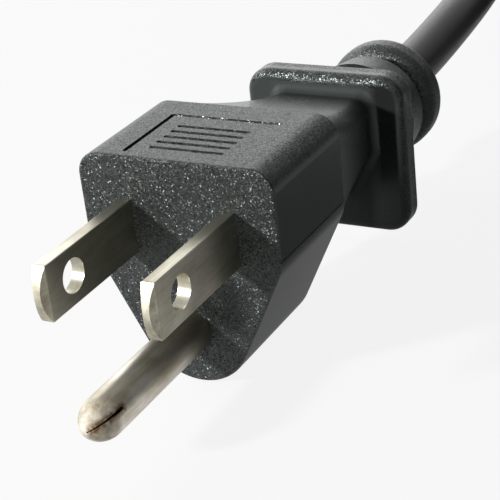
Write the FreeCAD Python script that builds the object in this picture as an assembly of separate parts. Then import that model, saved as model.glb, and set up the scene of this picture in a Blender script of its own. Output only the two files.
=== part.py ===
import FreeCAD, Part
import math
import os

from FreeCAD import Vector

os.makedirs("parts", exist_ok=True)

# A moulded mains plug with two flat blades and a round earth pin, on a round three-core cord.
# All sizes are in millimetres. The plug is drawn from the middle of its mating face, halfway
# between the two blades: X runs towards the neutral blade, Y from the face towards the cord and
# Z up. At the end every piece is moved so that the plug lies on Z = 0, centred on the origin.

# Flat blades
blade_spacing = 12.7
blade_width = 6.35
blade_thickness = 1.52
blade_length = 17.3
blade_tip_rise = 1.1
blade_bevel_length = 1.0
blade_bevel_depth = 0.36
blade_edge_radius = 0.15
blade_hole_diameter = 3.8
blade_hole_setback = 11.9

# Earth pin, rolled from sheet, with a relief slit at its nose
pin_drop = 11.89
pin_diameter = 4.75
pin_root_diameter = 4.4
pin_length = 21.4
pin_nose_side = 3.6
pin_nose_tip = 1.7
pin_wall = 0.65
pin_slit_length = 3.8
pin_slit_width = 0.4
pin_slit_tip_width = 0.16
pin_slit_angle = 62.0

# Tails of the contacts, inside the plug
root_past_carrier = 1.0
tab_width = 2.6
tab_length = 3.0
barrel_length = 6.0
barrel_wall = 0.75

# Front block of the moulding
block_width = 23.8
block_top = 8.2
block_length = 15.8
block_corner_radius = 2.7
block_bend_drop = 3.0
block_bend_radius = 4.0
keel_depth = 18.4
keel_radius = 6.8
face_edge_radius = 0.35
parting_drop = 2.1
parting_width = 0.14
parting_depth = 0.1

# Carrier that holds the three contacts
face_skin = 1.2
carrier_thickness = 4.0
carrier_margin = 2.6
carrier_corner_radius = 1.0

# Neck, narrowing from the block to the flange
neck_length = 20.2
neck_step = 0.16
neck_end_width = 12.8
neck_end_top = 2.2
neck_end_corner_radius = 2.0
neck_end_bend_drop = 5.0
neck_end_bend_radius = 2.5
neck_end_keel_depth = 12.0
neck_end_keel_radius = 3.8
neck_top_hollow = 1.45
neck_side_hollow = 1.22
neck_sections = 5
neck_fillet = 1.0

# Grip flange
flange_thickness = 3.4
flange_width = 21.3
flange_top = 4.7
flange_depth = 16.1
flange_corner_radius = 3.2
flange_front_radius = 1.1
flange_rear_radius = 0.5

# Strain relief behind the flange: a core with two rings
cord_drop = 5.3
core_radius = 5.6
first_groove = 6.6
first_ring_length = 5.0
first_ring_front_radius = 7.75
first_ring_rear_radius = 7.05
second_groove = 1.2
collar_length = 5.2
collar_radius = 7.7
collar_edge_radius = 2.0

# Grooves in the top of the block: an open corner line, and a grip panel of straight grooves
line_width = 0.55
line_depth = 0.4
line_left = -6.4
line_right = 6.9
line_front = 1.5
line_rear = 11.9
grip_count = 5
grip_pitch = 1.5
grip_width = 0.6
grip_length = 8.4
grip_depth = 0.35
grip_middle_x = 0.3
grip_middle_y = 6.0

# Cord
cord_diameter = 6.5
jacket_grip = 24.4
strand_diameter = 1.25
insulation_diameter = 2.1
core_circle = 1.26
bare_gap = 1.0
wire_straight = 2.4
wire_bend = 6.0

# The rest of the cord, folded into a hank of two turns side by side in four layers
hank_x = 18.0
hank_y = 165.6
hank_layers = 4
hank_loop_diameters = 4.0
hank_waist_diameters = 3.0
hank_pinch = 5.0
hank_edge_radius = 2.0
tie_width = 8.0
tie_thickness = 0.6
hank_clearance = 0.2
lead_start = 7.4
lead_length = 24.0
lead_bare_end = 7.0
lead_room = 18.0

# Lengths closer than this count as the same
near_zero = 0.001

# Places that follow from the sizes above
carrier_rear = face_skin + carrier_thickness
root_end = carrier_rear + root_past_carrier
barrel_start = root_end + tab_length
barrel_end = barrel_start + barrel_length
insulation_start = barrel_end + bare_gap
flange_front = block_length + neck_length
flange_rear = flange_front + flange_thickness
first_ring_start = flange_rear + first_groove
first_ring_end = first_ring_start + first_ring_length
collar_start = first_ring_end + second_groove
plug_end = collar_start + collar_length
jacket_start = plug_end - jacket_grip
cord_radius = cord_diameter / 2
cord_axis = -cord_drop
floor = -keel_depth
laid = floor + cord_radius
barrel_radius = strand_diameter / 2 + barrel_wall

# Route of the cord from inside the plug to the side of the hank, on the surface the plug lies on
cord_route = [
    Vector(0, jacket_start, cord_axis),
    Vector(0, 60.0, cord_axis),
    Vector(0.2, 88.0, -2.5),
    Vector(-3.9, 110.0, -3.6),
    Vector(-8.6, 129.0, -9.4),
    Vector(-8.3, 145.0, laid),
    Vector(-3.4, 161.0, laid),
]

# The origin lies under the middle of the plug, on the surface that it lies on
to_origin = Vector(0, (pin_length - plug_end) / 2, -floor)


def export(name, shape):
    """Writes one piece, moved to the part's own origin."""
    moved = shape.copy()
    moved.translate(to_origin)
    moved.exportStep("parts/" + name + ".step")


def arc(start, middle, end):
    return Part.Arc(start, middle, end).toShape()


def line(start, end):
    return Part.LineSegment(start, end).toShape()


def around(centre, radius, degrees):
    """A point of a circle that lies flat, X to Y."""
    turn = math.radians(degrees)
    return centre + Vector(radius * math.cos(turn), radius * math.sin(turn), 0)


def keeled_outline(y, width, top, corner, bend_z, bend, keel_z, keel):
    """The plug's section at y: flat top, upright sides that bend in, and a round keel."""
    half = width / 2
    centre = Vector(0, y, keel_z + keel)
    reach = math.hypot(half, bend_z - centre.z)
    touch = math.atan2(bend_z - centre.z, half) - math.acos(keel / reach)
    keel_touch = centre + Vector(keel * math.cos(touch), 0, keel * math.sin(touch))
    slant = (keel_touch - Vector(half, y, bend_z)).normalize()
    turn = math.acos(-slant.z)
    short = bend * math.tan(turn / 2)
    bend_top = Vector(half, y, bend_z + short)
    bend_middle = Vector(half - bend + bend * math.cos(turn / 2), y, bend_top.z - bend * math.sin(turn / 2))
    bend_end = Vector(half, y, bend_z) + slant * short
    corner_top = Vector(half - corner, y, top)
    corner_side = Vector(half, y, top - corner)
    part_way = corner * (1 - math.sqrt(0.5))
    corner_middle = Vector(half - part_way, y, top - part_way)

    def left(point):
        return Vector(-point.x, point.y, point.z)

    edges = [
        line(left(corner_top), corner_top),
        arc(corner_top, corner_middle, corner_side),
        line(corner_side, bend_top),
        arc(bend_top, bend_middle, bend_end),
        line(bend_end, keel_touch),
        arc(keel_touch, Vector(0, y, keel_z), left(keel_touch)),
        line(left(keel_touch), left(bend_end)),
        arc(left(bend_end), left(bend_middle), left(bend_top)),
        line(left(bend_top), left(corner_side)),
        arc(left(corner_side), left(corner_middle), left(corner_top)),
    ]
    return Part.Wire(edges)


def block_outline(y, inset=0.0):
    return keeled_outline(
        y,
        block_width - 2 * inset,
        block_top - inset,
        max(block_corner_radius - inset, carrier_corner_radius),
        -block_bend_drop,
        block_bend_radius,
        -keel_depth + inset,
        keel_radius - inset,
    )


def edges_at(shape, y, test=None):
    """The edges of a shape that lie wholly in the plane at y."""
    found = []
    for edge in shape.Edges:
        box = edge.BoundBox
        if abs(box.YMin - y) < near_zero and abs(box.YMax - y) < near_zero:
            if test is None or test(box):
                found.append(edge)
    return found


def front_block():
    solid = Part.Face(block_outline(0)).extrude(Vector(0, block_length, 0))
    return solid.makeFillet(face_edge_radius, edges_at(solid, 0))


def parting_lines():
    """The fine grooves in the sides of the block where the halves of the mould met."""
    low = -parting_drop - parting_width / 2
    inside = block_width / 2 - parting_depth
    right = Part.makeBox(parting_depth, block_length, parting_width, Vector(inside, 0, low))
    left = Part.makeBox(parting_depth, block_length, parting_width, Vector(-block_width / 2, 0, low))
    return [left, right]


def neck_section(share):
    """The neck's section at a share of its length; its top and sides are slightly hollow."""

    def between(start, end, hollow):
        return end + (start - end) * (1 - share) ** hollow

    return keeled_outline(
        block_length + share * neck_length,
        between(block_width - 2 * neck_step, neck_end_width, neck_side_hollow),
        between(block_top - neck_step, neck_end_top, neck_top_hollow),
        between(block_corner_radius, neck_end_corner_radius, neck_side_hollow),
        between(-block_bend_drop, -neck_end_bend_drop, 1),
        between(block_bend_radius, neck_end_bend_radius, 1),
        between(-keel_depth + neck_step, -neck_end_keel_depth, 1),
        between(keel_radius, neck_end_keel_radius, 1),
    )


def neck():
    shares = [n / (neck_sections - 1) for n in range(neck_sections)]
    return Part.makeLoft([neck_section(share) for share in shares], True, False)


def flange():
    height = flange_top + flange_depth
    corner = Vector(-flange_width / 2, flange_front, -flange_depth)
    solid = Part.makeBox(flange_width, flange_thickness, height, corner)
    upright = []
    for edge in solid.Edges:
        if abs(edge.BoundBox.YLength - flange_thickness) < near_zero:
            upright.append(edge)
    solid = solid.makeFillet(flange_corner_radius, upright)
    solid = solid.makeFillet(flange_front_radius, edges_at(solid, flange_front))
    return solid.makeFillet(flange_rear_radius, edges_at(solid, flange_rear))


def strain_relief():
    """The core, its tapered ring and its round collar, turned about the cord's axis."""

    def at(radius, y):
        return Vector(radius, y, cord_axis)

    edge = collar_edge_radius
    part_way = edge * (1 - math.sqrt(0.5))
    shoulder = collar_radius - edge
    inner = flange_rear - flange_rear_radius
    edges = [
        line(at(0, inner), at(core_radius, inner)),
        line(at(core_radius, inner), at(core_radius, first_ring_start)),
        line(at(core_radius, first_ring_start), at(first_ring_front_radius, first_ring_start)),
        line(at(first_ring_front_radius, first_ring_start), at(first_ring_rear_radius, first_ring_end)),
        line(at(first_ring_rear_radius, first_ring_end), at(core_radius, first_ring_end)),
        line(at(core_radius, first_ring_end), at(core_radius, collar_start)),
        line(at(core_radius, collar_start), at(shoulder, collar_start)),
        arc(
            at(shoulder, collar_start),
            at(collar_radius - part_way, collar_start + part_way),
            at(collar_radius, collar_start + edge),
        ),
        line(at(collar_radius, collar_start + edge), at(collar_radius, plug_end - edge)),
        arc(
            at(collar_radius, plug_end - edge),
            at(collar_radius - part_way, plug_end - part_way),
            at(shoulder, plug_end),
        ),
        line(at(shoulder, plug_end), at(0, plug_end)),
        line(at(0, plug_end), at(0, inner)),
    ]
    profile = Part.Face(Part.Wire(edges))
    return profile.revolve(Vector(0, 0, cord_axis), Vector(0, 1, 0), 360)


def groove(start, end, width, depth):
    """A straight groove with round ends, cut down into the top of the block."""
    bottom = block_top - depth
    run = end - start
    across = Vector(-run.y, run.x, 0).normalize() * (width / 2)
    tip = Vector(run).normalize() * (width / 2)
    low = Vector(0, 0, bottom)
    edges = [
        line(start + across + low, end + across + low),
        arc(end + across + low, end + tip + low, end - across + low),
        line(end - across + low, start - across + low),
        arc(start - across + low, start - tip + low, start + across + low),
    ]
    return Part.Face(Part.Wire(edges)).extrude(Vector(0, 0, 2 * depth))


def top_grooves():
    """The open corner line and the grip panel."""
    corner = Vector(line_left, line_rear, 0)
    cuts = [
        groove(Vector(line_left, line_front, 0), corner, line_width, line_depth),
        groove(corner, Vector(line_right, line_rear, 0), line_width, line_depth),
    ]
    for n in range(grip_count):
        y = grip_middle_y + (n - (grip_count - 1) / 2) * grip_pitch
        start = Vector(grip_middle_x - grip_length / 2, y, 0)
        cuts.append(groove(start, start + Vector(grip_length, 0, 0), grip_width, grip_depth))
    return cuts


def tip_bevel(face_x, inward):
    """What is bevelled away from one face of a blade at its tip."""
    tip = -blade_length
    low = -blade_width / 2
    corners = [
        Vector(face_x, tip + blade_bevel_length, low),
        Vector(face_x, tip, low),
        Vector(face_x + inward * blade_bevel_depth, tip, low),
        Vector(face_x, tip + blade_bevel_length, low),
    ]
    return Part.Face(Part.makePolygon(corners)).extrude(Vector(0, 0, blade_width))


def blade(x):
    """A flat blade with its bevelled round tip, hole, and the tab and barrel that hold the wire."""
    half = blade_width / 2
    shoulder = blade_tip_rise - blade_length
    side = x - blade_thickness / 2

    def at(y, z):
        return Vector(side, y, z)

    edges = [
        line(at(root_end, half), at(shoulder, half)),
        arc(at(shoulder, half), at(-blade_length, 0), at(shoulder, -half)),
        line(at(shoulder, -half), at(root_end, -half)),
        line(at(root_end, -half), at(root_end, half)),
    ]
    strip = Part.Face(Part.Wire(edges)).extrude(Vector(blade_thickness, 0, 0))
    long_edges = [edge for edge in strip.Edges if edge.BoundBox.YLength > blade_width]
    strip = strip.makeFillet(blade_edge_radius, long_edges)
    strip = strip.cut([tip_bevel(side, 1), tip_bevel(side + blade_thickness, -1)])
    tab = Part.makeBox(
        blade_thickness, tab_length + barrel_radius, tab_width, Vector(side, root_end, -tab_width / 2)
    )
    along_x = Vector(1, 0, 0)
    hole = Part.makeCylinder(blade_hole_diameter / 2, blade_thickness, at(-blade_hole_setback, 0), along_x)
    solid = strip.cut(hole).fuse(tab).fuse(barrel(x, 0))
    return solid.cut(barrel_bore(x, 0)).removeSplitter()


def barrel(x, z):
    """The round barrel that is closed on a wire's strands."""
    return Part.makeCylinder(barrel_radius, barrel_length, Vector(x, barrel_start, z), Vector(0, 1, 0))


def barrel_bore(x, z):
    return Part.makeCylinder(strand_diameter / 2, barrel_length, Vector(x, barrel_start, z), Vector(0, 1, 0))


def pin_outside():
    """The outside of the earth pin, with a narrower root behind the mating face."""
    root = Part.makeCylinder(pin_root_diameter / 2, root_end, Vector(0, 0, -pin_drop), Vector(0, 1, 0))
    return bullet(0, 0).fuse(root)


def bullet(inset, end):
    """A rod along Y with a bullet nose; the inset makes the inside of the rolled pin."""
    radius = pin_diameter / 2 - inset
    side = pin_nose_side - inset
    tip = pin_nose_tip - inset
    past = pin_nose_side - pin_diameter / 2
    turn = math.acos(past / (pin_nose_side - pin_nose_tip))
    nose_middle = pin_nose_tip - pin_length
    nose_start = nose_middle + past * math.tan(turn)

    def at(across, y):
        return Vector(across, y, -pin_drop)

    def on_side(share):
        return at(side * math.cos(share * turn) - past, nose_start - side * math.sin(share * turn))

    half_turn = (turn + math.pi / 2) / 2
    edges = [
        line(at(0, end), at(radius, end)),
        line(at(radius, end), at(radius, nose_start)),
        arc(at(radius, nose_start), on_side(0.5), on_side(1)),
        arc(
            on_side(1),
            at(tip * math.cos(half_turn), nose_middle - tip * math.sin(half_turn)),
            at(0, nose_middle - tip),
        ),
        line(at(0, nose_middle - tip), at(0, end)),
    ]
    profile = Part.Face(Part.Wire(edges))
    return profile.revolve(Vector(0, 0, -pin_drop), Vector(0, 1, 0), 360)


def earth_pin():
    """The rolled earth pin: a thin bullet-nosed tube with a slit nose, its tab and barrel."""
    radius = pin_diameter / 2
    hollow = bullet(pin_wall, root_end)
    tip = -pin_length
    inside = pin_slit_length - pin_length
    edge = radius + pin_wall
    corners = [
        Vector(-pin_slit_tip_width / 2, tip, -pin_drop),
        Vector(pin_slit_tip_width / 2, tip, -pin_drop),
        Vector(pin_slit_width / 2, inside, -pin_drop),
        Vector(-pin_slit_width / 2, inside, -pin_drop),
        Vector(-pin_slit_tip_width / 2, tip, -pin_drop),
    ]
    slit = Part.Face(Part.makePolygon(corners)).extrude(Vector(0, 0, edge))
    slit.rotate(Vector(0, 0, -pin_drop), Vector(0, 1, 0), pin_slit_angle)
    tab_half = radius - pin_wall / 2
    tab = Part.makeBox(
        2 * tab_half,
        tab_length + barrel_radius + root_past_carrier,
        blade_thickness,
        Vector(-tab_half, root_end - root_past_carrier, -pin_drop - blade_thickness / 2),
    )
    solid = pin_outside().cut(hollow).cut(slit).fuse(tab).fuse(barrel(0, -pin_drop))
    return solid.cut(barrel_bore(0, -pin_drop)).removeSplitter()


def bent_path(points, radii):
    """Straight runs joined by tangent arcs, one radius for each inner point."""
    edges = []
    start = points[0]
    for before, corner, after, radius in zip(points, points[1:], points[2:], radii):
        into = (corner - before).normalize()
        out = (after - corner).normalize()
        turn = into.getAngle(out)
        short = radius * math.tan(turn / 2)
        inward = (out - into).normalize()
        middle = corner + inward * (radius / math.cos(turn / 2) - radius)
        edges.append(line(start, corner - into * short))
        edges.append(arc(corner - into * short, middle, corner + out * short))
        start = corner + out * short
    edges.append(line(start, points[-1]))
    return Part.Wire(edges)


def rod_along(path, radius):
    """A round rod along a path that starts along Y."""
    start = path.OrderedVertexes[0].Point
    circle = Part.Wire(Part.makeCircle(radius, start, Vector(0, 1, 0)))
    return path.makePipeShell([circle], True, False)


def wire_points(x, z, degrees, start):
    """The middle of one wire, from its barrel to its place in the cord's end."""
    turn = math.radians(degrees)
    end = Vector(core_circle * math.cos(turn), jacket_start, cord_axis + core_circle * math.sin(turn))
    leave = insulation_start + wire_straight
    return [
        Vector(x, start, z),
        Vector(x, leave, z),
        Vector(end.x, jacket_start - wire_straight, end.z),
        end,
    ]


def wire(x, z, degrees):
    """The strands of one wire, and the insulation round them."""
    bends = [wire_bend, wire_bend]
    strands = rod_along(bent_path(wire_points(x, z, degrees, barrel_start), bends), strand_diameter / 2)
    covered = bent_path(wire_points(x, z, degrees, insulation_start), bends)
    insulation = rod_along(covered, insulation_diameter / 2).cut(strands)
    return strands, insulation


def cord_tube():
    """The plain round cord along its route, with arcs as large as its runs allow."""
    radii = []
    for before, corner, after in zip(cord_route, cord_route[1:], cord_route[2:]):
        turn = (corner - before).getAngle(after - corner)
        run = min((corner - before).Length, (after - corner).Length)
        radii.append(0.45 * run / math.tan(turn / 2))
    path = bent_path(cord_route, radii)
    tube = rod_along(path, cord_radius)
    print("cord arcs", [round(r) for r in radii])
    full = math.pi * cord_radius**2 * path.Length
    print("cord tube length", round(path.Length, 1), "volume share", tube.Volume / full)
    return tube


def hank_outline(offset, z):
    """The outline of the hank's turns, offset outwards from the middle of the outer turn."""
    loop = hank_loop_diameters * cord_diameter
    waist = hank_waist_diameters * cord_diameter
    across = loop - hank_pinch + waist
    lean = math.degrees(math.acos(across / (loop + waist)))
    along = (loop + waist) * math.sin(math.radians(lean))
    far = Vector(hank_x, hank_y + along, z)
    near = Vector(hank_x, hank_y - along, z)
    left = Vector(hank_x - across, hank_y, z)
    right = Vector(hank_x + across, hank_y, z)
    out = loop + offset
    into = waist - offset
    edges = [
        arc(around(far, out, -lean), around(far, out, 90), around(far, out, 180 + lean)),
        arc(around(left, into, lean), around(left, into, 0), around(left, into, -lean)),
        arc(around(near, out, 180 - lean), around(near, out, 270), around(near, out, 360 + lean)),
        arc(around(right, into, 180 + lean), around(right, into, 180), around(right, into, 180 - lean)),
    ]
    return Part.Wire(edges)


def slab(wire_at_floor, height):
    return Part.Face(wire_at_floor).extrude(Vector(0, 0, height))


def tie_band():
    """The flat tie round the waist of the hank, flush with the turns."""
    height = hank_layers * cord_diameter
    strip = Part.makeBox(4 * hank_x, tie_width, height, Vector(-hank_x, hank_y - tie_width / 2, floor))
    outer = slab(hank_outline(cord_radius, floor), height)
    inner = slab(hank_outline(cord_radius - tie_thickness, floor + tie_thickness), height - 2 * tie_thickness)
    return outer.common(strip).cut(inner)


def lead_notch():
    """The place beside the end of the top turn, where the wires leave the jacket."""
    loop = hank_loop_diameters * cord_diameter
    waist = hank_waist_diameters * cord_diameter
    middle = hank_x + loop - hank_pinch + waist - math.sqrt(waist**2 - lead_start**2)
    top = floor + hank_layers * cord_diameter
    run = lead_length + lead_room
    corner = Vector(middle - cord_radius - hank_clearance, hank_y - lead_start - run, top - cord_diameter)
    return Part.makeBox(2 * cord_diameter, run, 2 * cord_diameter, corner)


def hank():
    """The outer shape of the folded cord: a waisted ring with a notch for its end."""
    height = hank_layers * cord_diameter
    outer = slab(hank_outline(cord_radius, floor), height)
    rims = [edge for edge in outer.Edges if edge.BoundBox.ZLength < near_zero]
    outer = outer.makeFillet(hank_edge_radius, rims)
    middle = slab(hank_outline(-1.5 * cord_diameter, floor), height)
    return outer.cut(middle).cut(lead_notch())


def lead(place):
    """One free wire at the cord's end: its insulation and its tinned strands."""
    notch = lead_notch().BoundBox
    x = notch.XMin + cord_radius + hank_clearance + place * (insulation_diameter + hank_clearance / 2)
    start = Vector(x, notch.YMax, notch.ZMin + insulation_diameter / 2)
    towards = Vector(0, -1, 0)
    covered = lead_length - lead_bare_end
    core = Part.makeCylinder(strand_diameter / 2, lead_length, start, towards)
    sleeve = Part.makeCylinder(insulation_diameter / 2, covered, start, towards).cut(core)
    return sleeve, core


def carrier():
    """The stiff plate that holds the three contacts at their spacing."""
    return Part.Face(block_outline(face_skin, carrier_margin)).extrude(Vector(0, carrier_thickness, 0))


def moulding():
    """The outside of the plug, moulded as one piece round everything that it holds."""
    solid = front_block().fuse([neck(), flange(), strain_relief()]).removeSplitter()

    def inside_rim(box):
        return box.XLength < flange_width - 2 * flange_corner_radius and box.ZMax < neck_end_top + near_zero

    roots = edges_at(solid, flange_front, inside_rim)
    return solid.makeFillet(neck_fillet, roots).cut(top_grooves() + parting_lines())


line_x = -blade_spacing / 2
neutral_x = blade_spacing / 2
contacts = {"line_blade": blade(line_x), "neutral_blade": blade(neutral_x), "earth_pin": earth_pin()}
wires = {"line": wire(line_x, 0, 150), "neutral": wire(neutral_x, 0, 30), "earth": wire(0, -pin_drop, 270)}
tube = cord_tube()
folded = hank()
tie = tie_band()
clear_outline = hank_outline(cord_radius + hank_clearance, floor - cord_radius)
beside_hank = slab(clear_outline, hank_layers * cord_diameter)

held = [*contacts.values(), pin_outside(), tube]
for strands, insulation in wires.values():
    held += [strands, insulation]
frame = carrier()

export("plug_body", moulding().cut([frame, *held]))
export("contact_carrier", frame.cut(held))
for name, shape in contacts.items():
    export(name, shape)
for name, (strands, insulation) in wires.items():
    export(name + "_strands", strands)
    export(name + "_insulation", insulation)
export("cord_run", tube.cut(beside_hank))
export("cord_hank", folded.cut(tie))
export("hank_tie", tie)
for place, name in ((-1, "line"), (0, "neutral"), (1, "earth")):
    sleeve, core = lead(place)
    export(name + "_lead_insulation", sleeve)
    export(name + "_lead_strands", core)
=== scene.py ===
import math

import bpy
from mathutils import Matrix, Vector


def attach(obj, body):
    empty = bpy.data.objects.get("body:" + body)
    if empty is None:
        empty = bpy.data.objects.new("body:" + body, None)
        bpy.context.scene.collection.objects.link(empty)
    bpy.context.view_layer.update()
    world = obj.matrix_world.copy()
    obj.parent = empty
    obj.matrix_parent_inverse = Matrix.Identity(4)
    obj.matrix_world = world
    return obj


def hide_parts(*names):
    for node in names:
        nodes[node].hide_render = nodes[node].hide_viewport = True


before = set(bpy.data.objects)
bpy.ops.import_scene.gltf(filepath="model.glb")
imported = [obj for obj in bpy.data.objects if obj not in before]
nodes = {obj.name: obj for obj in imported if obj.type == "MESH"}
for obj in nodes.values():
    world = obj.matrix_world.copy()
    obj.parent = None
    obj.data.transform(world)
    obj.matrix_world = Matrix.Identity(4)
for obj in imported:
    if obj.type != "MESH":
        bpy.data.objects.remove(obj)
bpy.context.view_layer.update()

MM = 0.001


def mm(*values):
    """A point given in millimetres."""
    return Vector(values) * MM


def add_object(name, data):
    made = bpy.data.objects.new(name, data)
    bpy.context.scene.collection.objects.link(made)
    return made


# Camera: fitted to the blades, the pin and the straight edges of the body.
CAMERA_AT = mm(79.63, -138.58, 85.46)
CAMERA_RIGHT = Vector((0.88114, 0.46092, -0.10559))
CAMERA_DOWN = Vector((0.11967, -0.43339, -0.89323))
CAMERA_AHEAD = Vector((-0.45747, 0.77442, -0.43703))
CAMERA_SENSOR = 36.0
CAMERA_LENS = 108.0
CAMERA_NEAR = 0.01


def add_camera():
    data = bpy.data.cameras.new("camera")
    data.sensor_width = CAMERA_SENSOR
    data.lens = CAMERA_LENS
    data.clip_start = CAMERA_NEAR
    camera = add_object("camera", data)
    turn = Matrix((CAMERA_RIGHT, -CAMERA_DOWN, -CAMERA_AHEAD)).transposed()
    camera.matrix_world = Matrix.Translation(CAMERA_AT) @ turn.to_4x4()
    bpy.context.scene.camera = camera


# Cord: the route of part.py, then the turns of the hank, in millimetres.
CORD_DIAMETER = 6.5
CORD_ROUTE = [
    (0, 15.0, 13.1),
    (0, 42.0, 13.1),
    (0.2, 70.0, 15.9),
    (-3.9, 92.0, 14.8),
    (-8.6, 111.0, 9.0),
    (-8.3, 127.0, 3.25),
    (-3.4, 143.0, 3.25),
]
CORD_SIDES = 7
CORD_STEPS = 8
CORD_ORDER = 3

# Hank: two loops with a waist between them, around a middle.
HANK_X = 18.0
HANK_Y = 147.6
HANK_LOOP = 4 * CORD_DIAMETER
HANK_WAIST = 3 * CORD_DIAMETER
HANK_PINCH = 5.0
HANK_ACROSS = HANK_LOOP - HANK_PINCH + HANK_WAIST
HANK_LEAN = math.acos(HANK_ACROSS / (HANK_LOOP + HANK_WAIST))
HANK_ALONG = (HANK_LOOP + HANK_WAIST) * math.sin(HANK_LEAN)
# Each turn's column, 0 outer and 1 inner, and its layer.
HANK_TURNS = [(0, 0), (1, 0), (1, 1), (0, 1), (0, 2), (1, 2), (1, 3), (0, 3)]
# Where the cord starts and ends, in turns.
HANK_START = 0.02
HANK_END = 7.53
# Shares of a turn. The cord climbs to a new layer before the turn below it moves across.
CLIMB_START = 0.55
ACROSS_START = 0.70
SHIFT_RUN = 0.15
TURN_POINTS = 24
# How far a control point lies outside its bend, as a share of its distance from the chord.
BEND_OUTWARD = 0.25


def hank_line(share, inward):
    """A point of a turn, clockwise from the left of the waist, set inward from the outer turn."""
    loop = HANK_LOOP - inward
    waist = HANK_WAIST + inward
    loop_turn = math.pi + 2 * HANK_LEAN
    loop_run = HANK_LOOP * loop_turn
    waist_run = HANK_WAIST * 2 * HANK_LEAN
    run = share % 1.0 * 2 * (loop_run + waist_run) + waist_run / 2
    far_half = run < loop_run + waist_run
    if not far_half:
        run -= loop_run + waist_run
    side = 1 if far_half else -1
    if run < waist_run:
        turn = run / HANK_WAIST - HANK_LEAN
        x = -HANK_ACROSS + waist * math.cos(turn)
        y = waist * math.sin(turn)
    else:
        turn = math.pi + HANK_LEAN - (run - waist_run) / HANK_LOOP
        x = loop * math.cos(turn)
        y = HANK_ALONG + loop * math.sin(turn)
    return HANK_X + side * x, HANK_Y + side * y


def shift(share, start):
    """How much of a climb or a move across is done at a share of a turn."""
    return min(max((share - start) / SHIFT_RUN, 0.0), 1.0)


def hank_place(at):
    """A point of the whole hank, at a number of turns from its start."""
    last = len(HANK_TURNS) - 1
    turn = min(int(at), last)
    share = at - turn
    column, layer = HANK_TURNS[turn]
    next_column, next_layer = HANK_TURNS[min(turn + 1, last)]
    column += (next_column - column) * shift(share, ACROSS_START)
    layer += (next_layer - layer) * shift(share, CLIMB_START)
    x, y = hank_line(share, column * CORD_DIAMETER)
    return Vector((x, y, (layer + 0.5) * CORD_DIAMETER))


def hank_points():
    """Control points of the hank's turns; each lies a little outside the bend that it makes."""
    count = round((HANK_END - HANK_START) * TURN_POINTS)
    places = [hank_place(HANK_START + n / TURN_POINTS) for n in range(count + 1)]
    points = [places[0]]
    for before, here, after in zip(places, places[1:], places[2:]):
        points.append(here + (here - (before + after) / 2) * BEND_OUTWARD)
    points.append(places[-1])
    return points


def add_cord():
    points = [Vector(p) for p in CORD_ROUTE] + hank_points()
    data = bpy.data.curves.new("cord", "CURVE")
    data.dimensions = "3D"
    # The points carry the tube's radius, so that the curve's own box fits the tube.
    data.bevel_depth = 1.0
    data.bevel_resolution = CORD_SIDES
    data.resolution_u = CORD_STEPS
    data.use_fill_caps = True
    spline = data.splines.new("NURBS")
    spline.points.add(len(points) - 1)
    for point, place in zip(spline.points, points):
        point.co = (*(place * MM), 1.0)
        point.radius = CORD_DIAMETER / 2 * MM
    spline.use_endpoint_u = True
    spline.order_u = CORD_ORDER
    spline.resolution_u = CORD_STEPS
    cord = add_object("cord", data)
    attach(cord, "root")
    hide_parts("cord_run", "cord_hank")
    return cord


# The whole run of a share, and the middle of the random colours of cells.
WHOLE = (0.0, 1.0)
MIDDLE_COLOUR = (0.5, 0.5, 0.5)


class Nodes:
    """Short ways to add nodes to the tree of a material or of the world."""

    def __init__(self, tree):
        self.tree = tree

    def put(self, socket, value):
        if isinstance(value, bpy.types.NodeSocket):
            self.tree.links.new(value, socket)
        else:
            socket.default_value = value

    def node(self, kind, **inputs):
        made = self.tree.nodes.new(kind)
        for name, value in inputs.items():
            self.put(made.inputs[name.replace("_", " ")], value)
        return made

    def ramp(self, value, span, to=WHOLE):
        """A value that goes evenly from one number to another over a span, and stays there."""
        made = self.node("ShaderNodeMapRange", Value=value)
        for socket, number in zip(("From Min", "From Max", "To Min", "To Max"), (*span, *to)):
            made.inputs[socket].default_value = number
        return made.outputs["Result"]

    def maths(self, operation, *values):
        made = self.node("ShaderNodeMath")
        made.operation = operation
        for socket, value in zip(made.inputs, values):
            self.put(socket, value)
        return made.outputs["Value"]

    def both(self, first, *others):
        """The product of several shares."""
        for other in others:
            first = self.maths("MULTIPLY", first, other)
        return first

    def most(self, first, *others):
        """The largest of several values."""
        for other in others:
            first = self.maths("MAXIMUM", first, other)
        return first

    def vector_node(self, operation, first, second):
        made = self.node("ShaderNodeVectorMath")
        made.operation = operation
        self.put(made.inputs[0], first)
        self.put(made.inputs["Scale"] if operation == "SCALE" else made.inputs[1], second)
        return made

    def vector_maths(self, operation, first, second):
        return self.vector_node(operation, first, second).outputs["Vector"]

    def dot(self, first, second):
        return self.vector_node("DOT_PRODUCT", first, second).outputs["Value"]

    def along(self, where, axis):
        return self.node("ShaderNodeSeparateXYZ", Vector=where).outputs[axis]

    def background_share(self, seen, reflected):
        """How much of the white background a ray meets: seen by the camera, or reflected."""
        light = self.node("ShaderNodeLightPath").outputs
        shine = self.most(light["Is Glossy Ray"], light["Is Transmission Ray"])
        return self.most(self.both(light["Is Camera Ray"], seen), self.both(shine, reflected))


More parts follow.
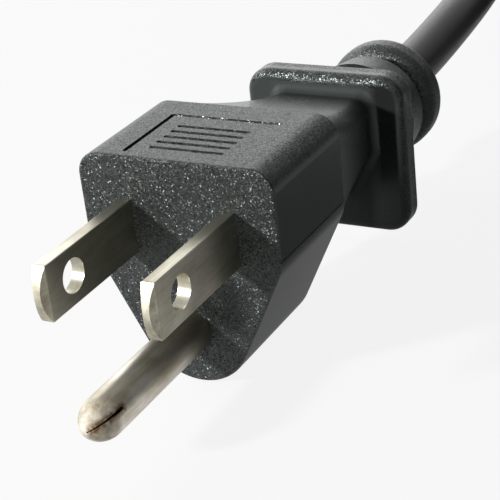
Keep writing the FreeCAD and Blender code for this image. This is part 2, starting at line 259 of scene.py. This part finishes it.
class Shader(Nodes):
    """A material with a Principled shader; its plain values hold until nodes replace them."""

    def __init__(self, name, colour, roughness, metallic=0.0):
        self.material = bpy.data.materials.new(name)
        self.material.use_nodes = True
        super().__init__(self.material.node_tree)
        self.surface = self.tree.nodes["Principled BSDF"]
        self.set("Base Color", (*colour, 1.0))
        self.set("Roughness", roughness)
        self.set("Metallic", metallic)

    def set(self, name, value):
        self.put(self.surface.inputs[name], value)

    def place(self, stretch=(1, 1, 1)):
        """Coordinates of the part's own frame in millimetres, stretched along each axis."""
        where = self.node("ShaderNodeTexCoord").outputs["Object"]
        scaled = self.node("ShaderNodeMapping", Vector=where)
        scaled.inputs["Scale"].default_value = [s / MM for s in stretch]
        return scaled.outputs["Vector"]

    def facing(self, axis):
        """How far the surface faces along one axis of the part, from -1 to 1."""
        return self.along(self.node("ShaderNodeTexCoord").outputs["Normal"], axis)

    def noise(self, where, scale, detail=2.0, roughness=0.5):
        made = self.node(
            "ShaderNodeTexNoise", Vector=where, Scale=scale, Detail=detail, Roughness=roughness
        )
        return made.outputs["Fac"]

    def mix(self, share, first, second):
        """A colour between two colours; each is three numbers or a socket."""
        made = self.node("ShaderNodeMix")
        made.data_type = "RGBA"
        self.put(made.inputs["Factor"], share)
        for socket, colour in zip([s for s in made.inputs if s.type == "RGBA"], (first, second)):
            linked = isinstance(colour, bpy.types.NodeSocket)
            self.put(socket, colour if linked else (*colour, 1.0))
        return [s for s in made.outputs if s.type == "RGBA"][0]

    def bump(self, height, distance, strength=1.0, under=None):
        made = self.node("ShaderNodeBump", Height=height, Distance=distance * MM, Strength=strength)
        if under is not None:
            self.put(made.inputs["Normal"], under)
        return made.outputs["Normal"]

    def facets(self, where, scale, tip, lift):
        """The normals of a grain of small facets, each tipped at random and lifted."""
        cells = self.node("ShaderNodeTexVoronoi", Vector=where, Scale=scale)
        lean = self.vector_maths("SUBTRACT", cells.outputs["Color"], MIDDLE_COLOUR)
        lean = self.vector_maths("SCALE", lean, tip)
        upward = self.node("ShaderNodeCombineXYZ", Z=lift).outputs["Vector"]
        lean = self.vector_maths("ADD", lean, upward)
        normal = self.node("ShaderNodeNewGeometry").outputs["Normal"]
        return self.vector_maths("NORMALIZE", self.vector_maths("ADD", normal, lean), (0, 0, 0))

    def clothe(self, *objects):
        for thing in objects:
            thing.data.materials.clear()
            thing.data.materials.append(self.material)


def darker(colour, share):
    return tuple(c * share for c in colour)


# Body: the colours of the plastic and of its shine.
PVC_DARK = (0.0105, 0.0120, 0.0116)
PVC_PALE = (0.0165, 0.0185, 0.0180)
PVC_SHINE = (0.90, 1.0, 0.98)
PVC_CLOUDS = 0.25
# Where each finish starts and is full, in millimetres along the plug,
ON_BLOCK = (-1.9, -2.2)
BEHIND_FACE = (-17.2, -17.0)
AT_LONG_GROOVE = (-6.5, -6.3)
BEHIND_BLOCK = (-2.2, -2.0)
BEHIND_NECK = (16.6, 17.0)
BEFORE_RIM = (18.4, 18.2)
BEHIND_FLANGE = (19.6, 20.0)
# above the floor, and to either side of the middle.
BELOW_RIM = (21.9, 21.6)
ABOVE_NECK = (7.6, 5.6)
# How far a surface faces forward (less than 0) or up where a finish starts and is full.
FACES_FORWARD = (-0.3, -0.8)
ROUNDING_FORWARD = (-0.1, -0.4)
ROUNDING_END = (-0.99, -0.93)
FACES_UP = (0.1, 0.9)
FACES_SIDEWAYS = (0.9, 0.5)
# How much of the top's grain the faces behind the block have.
TOP_BEHIND_BLOCK = 0.35
# Roughness where the mould was smooth; then each finish's roughness, and how far its facets tip.
SMOOTH = 0.22
FINISHES = {
    "front": (0.40, 1.3),
    "grip_grooves": (0.55, 0.0),
    "long_groove": (SMOOTH, 0.9),
    "top": (0.40, 0.35),
    "above_neck": (0.75, 0.0),
    "rim": (0.28, 0.65),
    "matt": (0.38, 0.35),
}
# How far the facets of the long groove's rear wall lean up.
LONG_GROOVE_LIFT = 0.5
# Facets and bumps to the millimetre; the bumps' height, and their strength off the top and on it.
FACETS = 7.8
BUMPS = 5.0
BUMP_HEIGHT = 0.04
BUMP_STRENGTH = (0.06, 1.0)
# The span of the bumps' noise over which the roughness changes, and by how much.
BUMP_SPAN = (0.2, 0.8)
ROUGHNESS_SPREAD = (-0.04, 0.04)


def body_shares(s, where):
    """How much of each finish a place on the body has."""
    along = s.along(where, "Y")
    forward = s.facing("Y")
    upward = s.facing("Z")
    on_block = s.ramp(along, ON_BLOCK)
    front = s.both(s.ramp(forward, FACES_FORWARD), on_block)
    grooves = s.both(front, s.ramp(along, BEHIND_FACE))
    long_groove = s.both(grooves, s.ramp(along, AT_LONG_GROOVE))
    behind_neck = s.ramp(along, BEHIND_NECK)
    flange_front = s.both(
        behind_neck,
        s.ramp(along, BEFORE_RIM),
        s.ramp(s.along(where, "Z"), BELOW_RIM),
    )
    rounding = s.both(s.ramp(forward, ROUNDING_FORWARD), s.ramp(forward, ROUNDING_END))
    neck = s.maths("SUBTRACT", s.ramp(along, BEHIND_BLOCK), behind_neck)
    neck_sides = s.both(neck, s.ramp(upward, FACES_SIDEWAYS))
    sideways = s.maths("ABSOLUTE", s.along(where, "X"))
    top_share = s.ramp(on_block, WHOLE, (TOP_BEHIND_BLOCK, 1.0))
    return {
        "front": s.maths("SUBTRACT", front, long_groove),
        "grip_grooves": s.maths("SUBTRACT", grooves, long_groove),
        "long_groove": long_groove,
        "top": s.both(s.ramp(upward, FACES_UP), top_share),
        "above_neck": s.both(flange_front, s.ramp(sideways, ABOVE_NECK)),
        "rim": s.both(s.maths("SUBTRACT", behind_neck, flange_front), rounding),
        "matt": s.most(s.ramp(along, BEHIND_FLANGE), neck_sides),
    }


def black_pvc():
    """Black moulded plastic: coarse grain in front, fine grain on top, smooth sides."""
    s = Shader("black_pvc", PVC_DARK, roughness=0.45)
    s.set("Specular Tint", (*PVC_SHINE, 1.0))
    where = s.place()
    shares = body_shares(s, where)
    roughness = SMOOTH
    tip = 0.0
    for name, (finish_roughness, finish_tip) in FINISHES.items():
        roughness = s.most(roughness, s.ramp(shares[name], WHOLE, (SMOOTH, finish_roughness)))
        tip = s.most(tip, s.both(shares[name], finish_tip))
    bumps = s.noise(where, BUMPS, roughness=0.65)
    s.set("Base Color", s.mix(s.noise(where, PVC_CLOUDS), PVC_DARK, PVC_PALE))
    s.set("Roughness", s.maths("ADD", roughness, s.ramp(bumps, BUMP_SPAN, ROUGHNESS_SPREAD)))
    grain = s.facets(where, FACETS, tip, s.both(shares["long_groove"], LONG_GROOVE_LIFT))
    strength = s.ramp(shares["top"], WHOLE, BUMP_STRENGTH)
    s.set("Normal", s.bump(bumps, BUMP_HEIGHT, strength, grain))
    return s


# Plating: the colour and roughness of its dark and pale tones, how much streaks count in the tones,
# and where the wear near the tips starts and is full, in millimetres along the plug.
BLADE_PLATE = {
    "dark": (0.37, 0.345, 0.268),
    "pale": (0.59, 0.565, 0.47),
    "roughness": (0.36, 0.26),
    "streak_share": 0.35,
    "worn": (-33.7, -34.6),
    "worn_roughness": 0.30,
}
PIN_PLATE = {
    "dark": (0.39, 0.34, 0.25),
    "pale": (0.69, 0.66, 0.59),
    "roughness": (0.44, 0.34),
    "streak_share": 0.25,
    "worn": (-36.4, -37.3),
    "worn_roughness": 0.40,
}
WORN_BRASS = (0.52, 0.43, 0.27)
WORN_DIRT = (0.19, 0.175, 0.15)
MOST_BRASS = 0.15
MOST_DIRT = 0.4
# How the noise is stretched across and along the plug.
STREAKS = (5.0, 0.12, 5.0)
CLOUDS = (0.45, 0.2, 0.45)
STREAK_HEIGHT = 0.003
# The spans of noise over which the plate's colour, its roughness, the brass and the dirt change.
PLATE_TONES = (0.36, 0.64)
ROUGHNESS_TONES = (0.3, 0.7)
BRASS_STREAKS = (0.45, 0.6)
DIRT_SPOTS = (0.42, 0.62)


def nickel(name, dark, pale, roughness, streak_share, worn, worn_roughness):
    """Nickel plate over drawn metal, with soft clouds and faint streaks; also gives its colour."""
    s = Shader(name, pale, roughness=roughness[1], metallic=1.0)
    streaks = s.noise(s.place(STREAKS), scale=1.0, detail=4.0, roughness=0.6)
    clouds = s.noise(s.place(CLOUDS), scale=1.0, detail=3.0, roughness=0.55)
    tone = s.maths("ADD", s.both(streaks, streak_share), s.both(clouds, 1 - streak_share))
    wear = s.ramp(s.along(s.place(), "Y"), worn)
    wear_roughness = s.both(wear, worn_roughness)
    s.set("Roughness", s.maths("ADD", s.ramp(tone, ROUGHNESS_TONES, roughness), wear_roughness))
    brass = s.both(wear, s.ramp(streaks, BRASS_STREAKS, (0.0, MOST_BRASS)))
    spots = s.noise(s.place(), scale=1.0, detail=3.0, roughness=0.6)
    dirt = s.both(wear, s.ramp(spots, DIRT_SPOTS, (0.0, MOST_DIRT)))
    plate = s.mix(s.ramp(tone, PLATE_TONES), dark, pale)
    plate = s.mix(dirt, s.mix(brass, plate, WORN_BRASS), WORN_DIRT)
    s.set("Base Color", plate)
    s.set("Normal", s.bump(streaks, STREAK_HEIGHT))
    return s, plate


# Pin: brown stain along the slit, and a darker colour towards the root, in millimetres.
PIN_HEIGHT = 6.51
SLIT_TURN = math.radians(62)
SLIT_OUTWARD = Vector((math.sin(SLIT_TURN), 0, math.cos(SLIT_TURN)))
SLIT_ACROSS = Vector((math.cos(SLIT_TURN), 0, -math.sin(SLIT_TURN)))
STAIN = (0.18, 0.11, 0.055)
STAIN_ACROSS = (0.75, 0.3)
STAIN_OUTWARD = (0.0, 0.5)
STAIN_ALONG = (-35.0, -35.5)
# The stain is patchy: the scale of the patches, the span of their noise, and the stain's share.
STAIN_PATCHES = 2.5
STAIN_PATCH_SPAN = (0.35, 0.6)
STAIN_PATCH_SHARE = (0.3, 1.0)
# The pin turns darker towards its root, where it meets the body.
ROOT_DARK_COLOUR = (0.20, 0.185, 0.13)
ROOT_DARK_ALONG = (-30.0, -20.0)
MOST_ROOT_DARK = 0.6


def pin_plate():
    """The rolled pin's plate, duller than the blades' and stained brown along the slit."""
    s, plate = nickel("pin_plate", **PIN_PLATE)
    where = s.vector_maths("SUBTRACT", s.place(), (0, 0, PIN_HEIGHT))
    along = s.along(where, "Y")
    stain = s.both(
        s.ramp(s.maths("ABSOLUTE", s.dot(where, SLIT_ACROSS)), STAIN_ACROSS),
        s.ramp(s.dot(where, SLIT_OUTWARD), STAIN_OUTWARD),
        s.ramp(along, STAIN_ALONG),
        s.ramp(s.noise(where, STAIN_PATCHES), STAIN_PATCH_SPAN, STAIN_PATCH_SHARE),
    )
    # Darker towards the root, where the pin meets the body.
    root_dark = s.ramp(along, ROOT_DARK_ALONG, (0.0, MOST_ROOT_DARK))
    s.set("Base Color", s.mix(stain, s.mix(root_dark, plate, ROOT_DARK_COLOUR), STAIN))
    return s


# Cord: the colours and the roughness of its jacket, and the scales of their noise.
JACKET_COLOUR = (0.018, 0.018, 0.019)
JACKET_DARK = (0.014, 0.014, 0.015)
JACKET_PALE = (0.022, 0.022, 0.023)
JACKET_CLOUDS = 0.1
JACKET_ROUGHNESS = (0.34, 0.46)
JACKET_BUMPS = 3.0
JACKET_BUMP_SPAN = (0.25, 0.75)
# Height of the fine bumps of the jacket and the other plastics, in millimetres.
FINE_HEIGHT = 0.01
FINE_STRENGTH = 0.6


def jacket():
    """The cord's smooth black jacket."""
    s = Shader("black_jacket", JACKET_COLOUR, roughness=0.36)
    fine = s.noise(s.place(), JACKET_BUMPS, roughness=0.6)
    s.set("Base Color", s.mix(s.noise(s.place(), JACKET_CLOUDS), JACKET_DARK, JACKET_PALE))
    s.set("Roughness", s.ramp(fine, JACKET_BUMP_SPAN, JACKET_ROUGHNESS))
    s.set("Normal", s.bump(fine, FINE_HEIGHT, FINE_STRENGTH))
    return s


PLASTIC_BUMPS = 1.5
PLASTIC_SHADE = 0.85


def plastic(name, colour, roughness):
    """A plain moulded plastic with slight mottling."""
    s = Shader(name, colour, roughness)
    fine = s.noise(s.place(), PLASTIC_BUMPS, roughness=0.6)
    s.set("Base Color", s.mix(fine, darker(colour, PLASTIC_SHADE), colour))
    s.set("Normal", s.bump(fine, FINE_HEIGHT, FINE_STRENGTH))
    return s


STRAND_STRETCH = (8.0, 0.6, 8.0)
STRAND_HEIGHT = 0.05
STRAND_SHADE = 0.7


def strands(name, colour):
    """Bare wire strands."""
    s = Shader(name, colour, roughness=0.3, metallic=1.0)
    lay = s.noise(s.place(STRAND_STRETCH), scale=1.0)
    s.set("Base Color", s.mix(lay, darker(colour, STRAND_SHADE), colour))
    s.set("Normal", s.bump(lay, STRAND_HEIGHT))
    return s


CARRIER_COLOUR = (0.75, 0.73, 0.68)
TIE_COLOUR = (0.03, 0.03, 0.032)
COPPER = (0.72, 0.42, 0.27)
TINNED = (0.72, 0.72, 0.72)
WIRE_COLOURS = {
    "line": (0.03, 0.03, 0.03),
    "neutral": (0.8, 0.8, 0.78),
    "earth": (0.05, 0.32, 0.11),
}


def dress():
    """Gives the CAD nodes their materials."""
    black_pvc().clothe(nodes["plug_body"])
    blade_plate, _ = nickel("blade_plate", **BLADE_PLATE)
    blade_plate.clothe(nodes["line_blade"], nodes["neutral_blade"])
    pin_plate().clothe(nodes["earth_pin"])
    plastic("carrier_plastic", CARRIER_COLOUR, roughness=0.5).clothe(nodes["contact_carrier"])
    plastic("tie_plastic", TIE_COLOUR, roughness=0.5).clothe(nodes["hank_tie"])
    copper = strands("copper", COPPER)
    tinned = strands("tinned_copper", TINNED)
    for name, colour in WIRE_COLOURS.items():
        cover = plastic(name + "_wire", colour, roughness=0.35)
        cover.clothe(nodes[name + "_insulation"], nodes[name + "_lead_insulation"])
        copper.clothe(nodes[name + "_strands"])
        tinned.clothe(nodes[name + "_lead_strands"])


WHITE = (1.0, 1.0, 1.0, 1.0)
# Floor, in metres: it lies just under the part, and is white to the camera.
FLOOR_HALF = 3.0
FLOOR_HEIGHT = -0.0002
FLOOR_COLOUR = (0.57, 0.57, 0.57)
FLOOR_ROUGHNESS = 0.7
FLOOR_GLOW_SEEN = 0.87
# Shine sees the floor glow at the left and fade to the right,
FLOOR_GLOW_REFLECTED = (0.75, 0.01)
FLOOR_GLOW_ACROSS = (-0.045, 0.031)
# and glow under the pin.
PATCH_GLOW = 0.8
PATCH_REAR = (-0.012, -0.016)
PATCH_FRONT = (-0.036, -0.030)
PATCH_ACROSS = (-0.008, 0.0)


def add_floor():
    half = FLOOR_HALF
    corners = [(-half, -half, 0), (half, -half, 0), (half, half, 0), (-half, half, 0)]
    mesh = bpy.data.meshes.new("floor")
    mesh.from_pydata(corners, [], [(0, 1, 2, 3)])
    floor = add_object("floor", mesh)
    floor.location.z = FLOOR_HEIGHT
    s = Shader("floor", FLOOR_COLOUR, FLOOR_ROUGHNESS)
    glow = s.node("ShaderNodeEmission", Color=WHITE, Strength=1.0)
    where = s.node("ShaderNodeTexCoord").outputs["Object"]
    across = s.along(where, "X")
    along = s.along(where, "Y")
    patch = s.both(
        s.ramp(along, PATCH_REAR),
        s.ramp(along, PATCH_FRONT),
        s.ramp(across, PATCH_ACROSS, (0.0, PATCH_GLOW)),
    )
    reflected = s.most(s.ramp(across, FLOOR_GLOW_ACROSS, FLOOR_GLOW_REFLECTED), patch)
    lit = s.node("ShaderNodeMixShader", Fac=s.background_share(FLOOR_GLOW_SEEN, reflected))
    s.put(lit.inputs[1], s.surface.outputs["BSDF"])
    s.put(lit.inputs[2], glow.outputs["Emission"])
    s.put(s.tree.nodes["Material Output"].inputs["Surface"], lit.outputs["Shader"])
    s.clothe(floor)


# Where the studio is bright: the direction, the dot products where that starts and is full,
# and how bright.
WORLD_SIDES = [
    ((-0.55, 0.80, 0.25), (0.3, 0.85), 1.0),
    ((0.0, -0.50, 0.85), (0.2, 0.9), 0.9),
    ((0.30, 0.75, 0.60), (0.75, 0.97), 0.35),
]
WORLD_DIM = 0.12
WORLD_AMBIENT = 0.1


def add_world():
    """A white studio, bright behind the left of the plug and in front, and dim elsewhere."""
    world = bpy.data.worlds.new("world")
    world.use_nodes = True
    sky = Nodes(world.node_tree)
    where = sky.node("ShaderNodeTexCoord").outputs["Generated"]
    strength = WORLD_DIM
    for towards, span, peak in WORLD_SIDES:
        strength = sky.most(strength, sky.ramp(sky.dot(where, towards), span, (0.0, peak)))
    back = sky.tree.nodes["Background"]
    back.inputs["Color"].default_value = WHITE
    sky.put(back.inputs["Strength"], sky.most(sky.background_share(1.0, strength), WORLD_AMBIENT))
    bpy.context.scene.world = world


# Lamps that face the plug: the place and the size in metres, and the power in watts.
LAMPS = {
    "back": ((-0.58, 0.86, 0.26), 0.8, 2.4),
    "left": ((-0.85, 0.12, 0.45), 0.5, 4.0),
    "front": ((-0.44, -0.60, 0.33), 0.07, 10.0),
}


def add_lamps():
    for name, (at, size, power) in LAMPS.items():
        data = bpy.data.lights.new(name, "AREA")
        data.size = size
        data.energy = power
        lamp = add_object(name, data)
        lamp.location = at
        lamp.rotation_euler = (-Vector(at)).to_track_quat("-Z", "Y").to_euler()


add_camera()
jacket().clothe(add_cord())
dress()
add_floor()
add_world()
add_lamps()
bpy.context.scene.view_settings.view_transform = "Standard"

bpy.context.view_layer.update()
